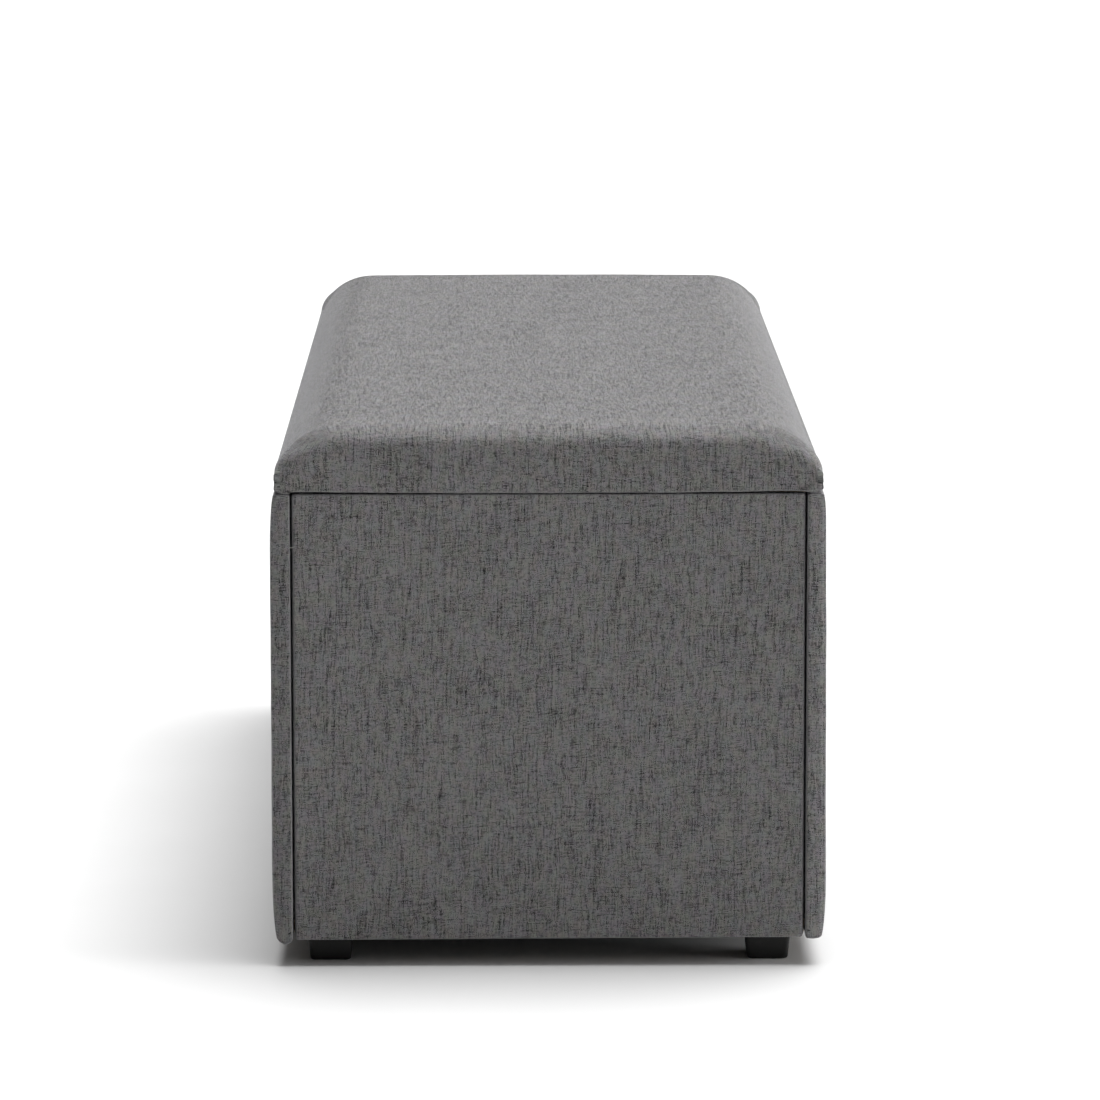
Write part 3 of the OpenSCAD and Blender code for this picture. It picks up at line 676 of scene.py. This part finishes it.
def make_wadding(side, material):
    """The thin padding between a long board and its cover."""
    name = "back" if side > 0 else "front"
    low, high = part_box(name + "_padding")
    board = BOARD_HIGH.y
    xs = lines(low.x + 3 * MM, high.x - 3 * MM, [0], 10 * MM, 20 * MM, 40 * MM)
    ys = np.array([board + 0.05 * MM, board + CROWN * 0.5])
    zs = lines(low.z, high.z, [0], 3 * MM, 20 * MM, 16 * MM)
    points, faces, _ = lattice_box((xs, ys, zs), (1, 1), None, 2)
    rise = quarter_rise(high.z - points[:, 2], 15 * MM) * quarter_rise(points[:, 2] - low.z, 46 * MM)
    outer = points[:, 1] > board + 0.1 * MM
    swell = (CROWN - 0.9 * MM) * rise * 0.8 + 0.15 * MM * waves(points, 12 * MM, 51 + side)
    points[outer, 1] = board + 0.1 * MM + np.maximum(swell, 0.05 * MM)[outer]
    if side < 0:
        points, faces, _ = mirrored(points, faces)
    piece = make_piece(name + "_wadding", points, faces, material, "box")
    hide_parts(name + "_padding")


# ------------ lid

SHOULDER_IN = (24 * MM, 48 * MM)       # how far the pad's round reaches in from ends and sides,
SHOULDER_DOWN = (12.5 * MM, 48 * MM)   # and down from the top there
SHOULDER_POWER = 1.85                  # 2 is an ellipse, and less is flatter
LID_EDGE_ROUND = 2.4 * MM
LID_CREEP = np.array([0.3, 0.0, 0.0]) * MM      # the cloth stands out past the CAD's ends
LID_SETTLE = np.array([0.0, 0.0, 1.9]) * MM     # and starts this far below the CAD's top
# corner, the axis of the face with the fold, the fold's line (see crease), its depth, the lip
# beside it, and how far the cloth hangs below it
FRONT_FOLD = [(0.5, 9.0), (5.0, 5.6), (8.0, 2.6), (13.0, 0.2)]
HOOKED_FOLD = [(10.8, 18.3), (6.6, 15.4), (5.8, 12.8), (6.6, 9.4), (8.4, 5.6), (11.5, 3.4), (17.2, 1.4)]
STEEP_FOLD = [(3.0, 14.0), (5.0, 8.0), (8.0, 3.0), (14.0, 0.4)]
LONG_FOLD = [(1.0, 10.0), (5.0, 6.5), (9.0, 3.0), (15.0, 0.3)]
CORNER_FOLDS = [
    ((1, -1), 1, FRONT_FOLD, 2.6, 1.4, 2.4),
    ((1, 1), 1, HOOKED_FOLD, 2.4, 1.2, 1.9),
    ((-1, -1), 0, STEEP_FOLD, 3.0, 1.4, 2.0),
    ((-1, 1), 1, LONG_FOLD, 3.0, 1.3, 1.6),
]


def pad_shape(points, low, high):
    """Bends a lattice box into the lid's pad: an elliptical shoulder, with corners that are
    nearly square at the board and grow rounder towards the top."""
    middle = (low + high) / 2
    half = (high - low) / 2
    place = points - middle
    inner = half[:2] - SHOULDER_IN
    dx = np.maximum(0, np.abs(place[:, 0]) - inner[0]) / SHOULDER_IN[0]
    dy = np.maximum(0, np.abs(place[:, 1]) - inner[1]) / SHOULDER_IN[1]
    sideways = dy / np.maximum(dx + dy, 1e-9)
    down = SHOULDER_DOWN[0] + (SHOULDER_DOWN[1] - SHOULDER_DOWN[0]) * sideways
    dz = np.maximum(0, place[:, 2] - half[2] + down) / down
    height = np.clip((points[:, 2] - low[2]) / (high[2] - low[2]), 0, 1)
    power = 9.0 - 6.4 * np.clip(height / 0.8, 0, 1) ** 0.8
    plan = (dx ** power + dy ** power) ** (1 / power)
    length = (plan ** SHOULDER_POWER + dz ** SHOULDER_POWER) ** (1 / SHOULDER_POWER)
    most = np.maximum(np.maximum(dx, dy), dz)
    scale = np.where(length > 1e-9, most / np.maximum(length, 1e-9), 1)
    shaped = place.copy()
    for axis, d in ((0, dx), (1, dy)):
        start = np.clip(place[:, axis], -inner[axis], inner[axis])
        shaped[:, axis] = start + np.sign(place[:, axis]) * SHOULDER_IN[axis] * d * scale
    shaped[:, 2] = np.minimum(place[:, 2], half[2] - down) + down * dz * scale
    return shaped + middle


def dome(points, low, high, rise):
    """The lift of each point when the top of the pad rises towards its middle."""
    half = (high - low) / 2
    middle = (low + high) / 2
    place = np.abs(points - middle) / half
    lift = np.clip((1 - place[:, 0] ** 4) * (1 - place[:, 1] ** 2), 0, 1) * (place[:, 2] > 0.5)
    return np.stack([0 * lift, 0 * lift, rise * lift], axis=1)


def evened(piece, values, rounds):
    """Averages a value at each vertex with its neighbours' that many times."""
    edges = np.empty(len(piece.data.edges) * 2, np.int64)
    piece.data.edges.foreach_get("vertices", edges)
    start, end = edges.reshape(-1, 2).T
    count = np.bincount(edges, minlength=len(values))[:, None]
    for _ in range(rounds):
        total = np.zeros_like(values)
        np.add.at(total, start, values[end])
        np.add.at(total, end, values[start])
        values = (values + total / count) / 2
    return values


CLOTH_FRAMES = 20
CLOTH_SETTINGS = {
    "quality": 6, "mass": 0.35,
    "tension_stiffness": 18, "compression_stiffness": 18, "shear_stiffness": 8,
    "bending_stiffness": 0.6,
    "tension_damping": 10, "compression_damping": 10, "shear_damping": 10,
}


def run_cloth(piece, pinned, pressure):
    """Blows a piece up with Blender's Cloth, and returns where its points end."""
    group = piece.vertex_groups.new(name="pinned")
    group.add([int(i) for i in np.nonzero(pinned)[0]], 1.0, "REPLACE")
    modifier = piece.modifiers.new("cloth", "CLOTH")
    cloth = modifier.settings
    for key, value in CLOTH_SETTINGS.items():
        setattr(cloth, key, value)
    cloth.vertex_group_mass = "pinned"
    cloth.use_pressure = True
    cloth.uniform_pressure_force = pressure
    cloth.effector_weights.gravity = 0
    modifier.point_cache.frame_end = CLOTH_FRAMES
    for number in range(1, CLOTH_FRAMES + 1):
        bpy.context.scene.frame_set(number)
    shown = piece.evaluated_get(bpy.context.evaluated_depsgraph_get())
    blown = np.empty(len(piece.data.vertices) * 3)
    shown.data.vertices.foreach_get("co", blown)
    piece.modifiers.clear()
    piece.vertex_groups.clear()
    return blown.reshape(-1, 3)


def inflate(piece, pinned, pressure, most):
    """Blows the cloth up. The pad inside keeps it from moving inwards, and each point stays
    within `most` of its start."""
    start = get_points(piece)
    normals = np.empty(len(start) * 3)
    piece.data.vertex_normals.foreach_get("vector", normals)
    normals = normals.reshape(-1, 3)
    move = run_cloth(piece, pinned, pressure) - start
    out = np.sum(move * normals, axis=1, keepdims=True)
    slide = move - out * normals
    slid = np.maximum(np.linalg.norm(slide, axis=1, keepdims=True), 1e-12)
    slide *= 0.3 * most * np.tanh(slid / (0.3 * most)) / slid
    rise = evened(piece, most * np.tanh(np.maximum(out, 0) / most), 150)
    set_points(piece, start + normals * rise + slide)
    bpy.context.scene.frame_set(1)


def crease(points, corner, along, route, depth, lip):
    """Folds the cloth beside one corner of the lid. along is the axis of the face that the fold
    lies on, corner gives the corner's signs, and route is the fold's line as millimetres from
    the corner and up from the hem. The cloth on the corner's side of the line stands out."""
    across = 1 - along
    half = (HALF_X, LID_HIGH.y)
    place = np.stack([
        half[along] - points[:, along] * corner[along],
        points[:, 2] - LID_LOW.z,
    ], axis=1) / MM
    near_face = half[across] - points[:, across] * corner[across]
    nearest = np.full(len(points), 1e9)
    side = np.zeros(len(points))
    taper = np.zeros(len(points))
    for number, (start, end) in enumerate(zip(route, route[1:])):
        start, step = np.array(start), np.array(end) - start
        t = np.clip((place - start) @ step / (step @ step), 0, 1)
        away = place - start - t[:, None] * step
        distance = np.linalg.norm(away, axis=1)
        closer = distance < nearest
        nearest = np.where(closer, distance, nearest)
        turn = step[0] * away[:, 1] - step[1] * away[:, 0]
        side = np.where(closer, np.where(turn < 0, distance, -distance), side)
        taper = np.where(closer, (number + t) / (len(route) - 1), taper)
    fade = np.clip(taper * 2.5, 0, 1) * falloff(near_face, 9 * MM)
    groove = -depth * np.exp(-(side / 0.75) ** 2)
    raised = lip * np.exp(-((side - 2.1) / 1.7) ** 2)
    points[:, across] += corner[across] * MM * fade * (groove + raised)
    return points


def hold_off_board(points):
    """Keeps the cloth beside the lid's board outside it, and eases back above the board."""
    for axis in (0, 1):
        keep = LID_BOARD_HIGH[axis] + 0.55 * MM
        reach = np.abs(points[:, axis])
        beside = (points[:, 2] > LID_BOARD_LOW.z - 0.3 * MM) & (reach > keep - 4 * MM)
        wrap = np.clip((LID_BOARD_HIGH.z + 4 * MM - points[:, 2]) / (3.5 * MM), 0, 1) * beside
        points[:, axis] += np.sign(points[:, axis]) * wrap * np.maximum(0, keep - reach)
    return points


def lid_lattice():
    """The lid cover's lattice box before it is bent, its flat places and its corners."""
    low = np.array(LID_LOW) - LID_CREEP
    high = np.array(LID_HIGH) + LID_CREEP - LID_SETTLE
    start = arc_offsets(LID_EDGE_ROUND, 2)
    xs, ys = [lines(low[a], high[a], start, 2.6 * MM, 30 * MM, 10 * MM, 1.25) for a in (0, 1)]
    edge = low[2] + np.array(start + [start[-1] + 2.6 * MM * i for i in range(1, 5)])
    zs = np.concatenate([edge, np.linspace(edge[-1], high[2], 13)[1:]])
    return (*lattice_box((xs, ys, zs), (2, 1), LID_HEM, 0), low, high)


def crown_and_pucker(points):
    """The pad crowns a little, its sides pucker near the board, and the turned edge sags towards
    the rim between the corners."""
    up = points[:, 2] - LID_LOW.z
    crown = (1 - (points[:, 0] / HALF_X) ** 4) * (1 - (points[:, 1] / LID_HIGH.y) ** 2)
    uneven = 0.1 * crown + 0.5 * waves(points, 130 * MM, 61)
    points[:, 2] += np.clip(up / (50 * MM), 0, 1) ** 2 * uneven * MM
    puckers = waves(points, 30 * MM, 63)
    outward = points[:, :2] / np.array([HALF_X, LID_HIGH.y])
    for axis, beyond in ((0, 0.985), (1, 0.96)):
        flank = np.abs(outward[:, axis]) > beyond
        points[:, axis] += np.sign(points[:, axis]) * flank * near(up, 20 * MM) * puckers * 0.35 * MM
    inset_x = HALF_X - np.abs(points[:, 0])
    inset_y = LID_HIGH.y - np.abs(points[:, 1])
    rim = falloff(np.minimum(inset_x, inset_y), 5 * MM) * near(up, 9 * MM)
    middle = np.where(inset_x < inset_y, 1 - outward[:, 1] ** 2, 1 - outward[:, 0] ** 6)
    middle *= 1 - 0.8 * (points[:, 1] > LID_HIGH.y - 12 * MM)
    points[:, 2] -= rim * MM * (0.5 + 1.75 * middle + 0.25 * puckers)
    return points


def fold_corners(points):
    """Folds the cloth at the four corners, no two alike."""
    for corner, along, route, depth, lip, hang in CORNER_FOLDS:
        points = crease(points, corner, along, route, depth, lip)
        knot = [corner[0] * (HALF_X - 3 * MM), corner[1] * (LID_HIGH.y - 3 * MM), LID_LOW.z]
        knot[along] = corner[along] * ((HALF_X, LID_HIGH.y)[along] - 7 * MM)
        reach = [8 * MM, 8 * MM, 5 * MM]
        reach[along] = 10 * MM
        points = lump(points, knot, reach, (0, 0, -hang * MM))
    return points


def make_lid_cover(material):
    points, faces, uvs, low, high = lid_lattice()
    beside_board = points[:, 2] < LID_BOARD_HIGH.z
    points = pad_shape(round_edges(points, LID_EDGE_ROUND, lower_only=True), low, high)
    piece = make_piece("lid_linen", points, faces, material, "lid", uvs)
    inflate(piece, beside_board, pressure=5.0, most=1.5 * MM)
    subdivide(piece)
    points = fold_corners(crown_and_pucker(get_points(piece)))
    points = hold_off_board(points)
    points[:, 2] = np.maximum(points[:, 2], RIM_Z + 0.15 * MM)
    set_points(piece, clear_hinges(points))
    thicken(piece)
    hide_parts("lid_cover")


def make_foam_pad(material):
    inset = np.array([1.8, 1.8, 0]) * MM
    low = np.array(FOAM_LOW) + inset
    high = np.array(FOAM_HIGH) - inset - np.array([0, 0, 4.6]) * MM
    xs, ys = [lines(low[a], high[a], [0], 5 * MM, 42 * MM, 30 * MM) for a in (0, 1)]
    zs = np.linspace(low[2], high[2], 8)
    points, faces, _ = lattice_box((xs, ys, zs), (2, 1), None, 0)
    points = pad_shape(points, low, high)
    points += dome(points, low, high, 1.2 * MM)
    piece = make_piece("lid_foam_pad", points, faces, material, "lid")
    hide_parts("lid_foam")


# ------------ linings

# node, its thin axis, the side that shows, and the board behind it
SIDE_LININGS = [
    ("front_lining", 1, 1, "front_board"),
    ("back_lining", 1, -1, "back_board"),
    ("left_lining", 0, 1, "left_end_board"),
    ("right_lining", 0, -1, "right_end_board"),
]


def make_lining(node, thin, sign, board, material, body="box", held="stretched", sag=0.25):
    """A thin sheet in a lining node's place. thin is its axis, sign the side that shows."""
    low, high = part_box(node)
    axes = [lines(low[a], high[a], [0], 4 * MM, 10 * MM, 22 * MM) for a in range(3)]
    axes[thin] = np.array([low[thin], high[thin]])
    in_plane = [a for a in range(3) if a != thin]
    points, faces, _ = lattice_box(tuple(axes), (thin, sign), None, in_plane[0])
    seed = sum(map(ord, node)) % 97
    ripple = 0.6 * waves(points, 60 * MM, seed) + 0.4 * waves(points, 18 * MM, seed + 1)
    edges = [np.minimum(points[:, a] - low[a], high[a] - points[:, a]) for a in in_plane]
    edge = np.min(edges, axis=0)
    loose = np.clip(edge / (18 * MM), 0, 1)
    points[:, thin] += sign * MM * loose * (sag + sag * ripple)
    for a in in_plane:
        points[:, a] += near(edge, 3 * MM) * MM * 0.35 * ripple
    piece = make_piece(node + "_cloth", points, faces, material, body)
    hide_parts(node)


STAPLE_WIDTH = 10 * MM
STAPLE_WIRE = 0.6 * MM
STAPLE_STAND = 0.45 * MM
STAPLE_GAP = 46 * MM
# its bent wire, as parts of its width and of how far it stands up
STAPLE_PATH = [(-0.5, -1.2), (-0.5, 0.55), (-0.42, 1.0), (0.42, 1.0), (0.5, 0.55), (0.5, -1.2)]


def add_staple(points, faces, place, along, out):
    """Adds one staple's crown: a flat wire along one axis that bends down at both ends."""
    along, out = Vector(along), Vector(out)
    across = along.cross(out)
    rings = []
    for step, height in STAPLE_PATH:
        centre = Vector(place) + along * (step * STAPLE_WIDTH) + out * (height * STAPLE_STAND)
        ring = []
        for a, b in ((-1, -1), (1, -1), (1, 1), (-1, 1)):
            ring.append(len(points))
            points.append(centre + across * (a * STAPLE_WIRE / 2) + out * (b * STAPLE_WIRE / 3))
        rings.append(ring)
    for low, high in zip(rings, rings[1:]):
        for i in range(4):
            j = (i + 1) % 4
            faces.append([low[i], low[j], high[j], high[i]])
    faces.append(rings[0][::-1])
    faces.append(rings[-1])


def make_lining_staples(material):
    """Staples along the upper edge of the four side linings."""
    rng = random.Random(5)
    points, faces = [], []
    for node, thin, sign, _ in SIDE_LININGS:
        low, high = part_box(node)
        run = 1 - thin
        first, span = low[run] + 30 * MM, high[run] - low[run] - 60 * MM
        count = int(span / STAPLE_GAP)
        out = [0, 0, 0]
        out[thin] = sign
        for i in range(count + 1):
            place = [0, 0, high.z - 5 * MM + rng.uniform(-1, 1) * MM]
            place[thin] = high[thin] if sign > 0 else low[thin]
            place[run] = first + i * span / count
            along = [0, 0, rng.uniform(-0.05, 0.05)]
            along[run] = 1
            behind_rail = node == "back_lining" and place[2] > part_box("hinge_rail")[0].z
            if not behind_rail:
                add_staple(points, faces, place, Vector(along).normalized(), out)
    piece = make_piece("lining_staples", points, faces, material, "box", smooth=False)


# ------------ feet and small pieces

FOOT_TAPER = 2.5 * MM     # how much narrower each side of a foot is at the floor
FOOT_CORNER = 3.2 * MM
FOOT_TOE = 1.9 * MM       # the round at the floor
FOOT_BORE = 5.4 * MM
FOOT_WELL = 11 * MM       # depth of the screw's well
RING_COUNT = 96


def round_ring(radius, z):
    angles = [2 * math.pi * (i + 0.5) / RING_COUNT for i in range(RING_COUNT)]
    return [(radius * math.cos(angle), radius * math.sin(angle), z) for angle in angles]


def square_ring(half, z):
    """Points round a square with round corners, evenly by angle."""
    ring = []
    for c, s, _ in round_ring(1, z):
        reach = half / max(abs(c), abs(s))
        x, y = c * reach, s * reach
        inner = half - FOOT_CORNER
        ax, ay = max(0.0, abs(x) - inner), max(0.0, abs(y) - inner)
        away = math.hypot(ax, ay)
        if ax > 0 and ay > 0 and away > 0:
            x = math.copysign(inner + FOOT_CORNER * ax / away, x)
            y = math.copysign(inner + FOOT_CORNER * ay / away, y)
        ring.append((x, y, z))
    return ring


def foot_rings(top_half, tall):
    """Rings from the bottom of the well, round the rim at the floor and up the outside."""
    def half_at(z):
        return top_half - FOOT_TAPER * (1 - z / tall)

    rim = [(0, 0.9 * MM), (0.35 * MM, 0.25 * MM), (0.9 * MM, 0)]
    rings = [round_ring(FOOT_BORE * 0.6, FOOT_WELL), round_ring(FOOT_BORE, FOOT_WELL)]
    rings += [round_ring(FOOT_BORE + wider, z) for wider, z in rim]
    rings.append(square_ring(half_at(0) - FOOT_TOE - 0.6 * MM, 0))
    for i in reversed(range(6)):
        angle = math.radians(90 * i / 5)
        z = FOOT_TOE * (1 - math.sin(angle))
        rings.append(square_ring(half_at(z) - FOOT_TOE * (1 - math.cos(angle)), z))
    for i in range(1, 5):
        z = FOOT_TOE + (tall - FOOT_TOE) * i / 4 - (0.3 * MM if i == 4 else 0)
        rings.append(square_ring(half_at(z), z))
    rings.append(square_ring(top_half - 0.5 * MM, tall))
    return rings


def make_foot(node, material):
    """A tapered square foot with rounded edges, a screw well and a raised rim under it."""
    low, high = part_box(node)
    middle = (low + high) / 2
    rings = foot_rings((high.x - low.x) / 2, high.z - low.z)
    points, faces = [], []
    for ring in rings:
        points.extend((middle.x + x, middle.y + y, low.z + z) for x, y, z in ring)
    for level in range(len(rings) - 1):
        a, b = level * RING_COUNT, (level + 1) * RING_COUNT
        for i in range(RING_COUNT):
            j = (i + 1) % RING_COUNT
            faces.append([a + j, b + j, b + i, a + i])
    last = (len(rings) - 1) * RING_COUNT
    faces.append(list(reversed(range(RING_COUNT))))
    faces.append([last + i for i in range(RING_COUNT)])
    piece = make_piece(node + "_moulding", points, faces, material, "box")
    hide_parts(node)


def make_loose_thread(material):
    """The short end of sewing thread that lies across the groove beside the near end panel."""
    curve = bpy.data.curves.new("loose_thread", "CURVE")
    curve.dimensions = "3D"
    curve.bevel_depth = 0.28 * MM
    curve.bevel_resolution = 2
    curve.resolution_u = 8
    groove = (LONG_LOW.y + END_HIGH.y) / -2
    route = [(-4.2, -1.6), (-2.2, 0.4), (-0.4, 0.2), (1.2, 1.0), (3.0, 1.2), (4.4, 0.5)]
    spline = curve.splines.new("NURBS")
    spline.points.add(len(route) - 1)
    spline.order_u = 4
    spline.use_endpoint_u = True
    for point, (across, up) in zip(spline.points, route):
        lift = 0.45 * MM - 0.06 * MM * abs(across)
        point.co = (HALF_X + lift, groove + across * MM, RIM_Z - 41 * MM + up * MM, 1)
    curve.materials.append(material)
    piece = add_object("loose_thread", curve)
    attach(piece, "box")


def thread_material():
    s = Shader("thread")
    twist = s.noise(s.stretched(s.object_place(), (3000, 9000, 3000)), 1.0, 1.0)
    dark, light = shaded((0.20, 0.20, 0.19)), shaded((0.34, 0.34, 0.32))
    s.set(Base_Color=s.mix(s.ramp(twist, 0.3, 0.7), dark, light))
    s.set(Roughness=0.8, Sheen_Weight=0.2)
    return s.material


# ------------ the scene

CORNERS = ("front_left", "front_right", "back_left", "back_right")


def dress(nodes, material):
    """Gives CAD nodes their material."""
    for name in nodes:
        mesh = NODES[name].data
        mesh.materials.clear()
        mesh.materials.append(material)


bpy.context.scene.view_settings.view_transform = "Standard"
make_camera()
make_world(horizon=0.02, zenith=0.34)
make_sun("key", 4.70, toward=(0.18, -0.17, -1), spread=50)
make_sun("side", 2.25, toward=(-0.12, -1, -0.17), spread=36)

floor = make_piece("floor", [(-30, -30, 0), (30, -30, 0), (30, 30, 0), (-30, 30, 0)],
                   [[0, 1, 2, 3]], floor_paint(), "box")

cloth = linen()
lining_cloth = non_woven("lining", shade=0.018, fibre=0.034)
plywood_x = wood("plywood", BIRCH, 0, layered=1)
plywood_y = wood("plywood_ends", BIRCH, 2, layered=0)
plywood_flat = wood("plywood_flat", BIRCH, 0, layered=2)
pine_post = wood("pine_upright", PINE, 2)
pine_rail = wood("pine_lengthwise", PINE, 0)
zinc = metal("zinc", (0.62, 0.62, 0.60), 0.30)
steel = metal("stay_steel", (0.46, 0.46, 0.46), 0.34, 1)
hinge_steel = metal("hinge_steel", (0.55, 0.54, 0.50), 0.30)
plastic = moulded("foot_plastic", (0.0030, 0.0030, 0.0028), 0.52)
rubber = moulded("bumper_rubber", (0.012, 0.012, 0.012), 0.75)
soft_foam = foam("cut_foam", (0.78, 0.72, 0.52), (0.55, 0.48, 0.30), 1.4)
fluff = foam("wadding", (0.82, 0.82, 0.80), (0.62, 0.62, 0.60), 2.2)

dress(["front_board", "back_board"], plywood_x)
dress(["left_end_board", "right_end_board"], plywood_y)
dress(["base_board", "lid_board"], plywood_flat)
dress([corner + "_post" for corner in CORNERS], pine_post)
dress(["front_base_cleat", "back_base_cleat", "hinge_rail"], pine_rail)
dress(["foot_screws", "corner_bolts", "corner_tee_nuts", "hinge_pins", "lid_staples"], zinc)
dress(["lid_bumpers"], rubber)
for where in ("box", "lid"):
    dress([f"hinge_{where}_screws", f"stay_{where}_screws", f"stay_{where}_rivets"], zinc)
for end in ("left", "right"):
    dress([f"{end}_elbow_rivet"], zinc)
    dress([f"{end}_hinge_{where}_leaf" for where in ("box", "lid")], hinge_steel)
    dress([f"{end}_stay_{part}" for part in ("box_bracket", "lid_bracket", "arm", "link")], steel)

for end in (-1, 1):
    make_end_cover(end, cloth)
    make_wadding(end, fluff)
    make_long_cover(end, cloth)
make_foam_pad(soft_foam)
make_lid_cover(cloth)
for lining in SIDE_LININGS:
    make_lining(*lining, lining_cloth)
make_lining("base_lining", 2, 1, "base_board", lining_cloth, held="laid")
make_lining("underside_cover", 2, -1, "base_board", lining_cloth, sag=0.15)
make_lining("lid_lining", 2, -1, "lid_board", lining_cloth, body="lid", sag=0.3)
make_lining_staples(zinc)
for corner in CORNERS:
    make_foot(corner + "_foot", plastic)
make_loose_thread(thread_material())
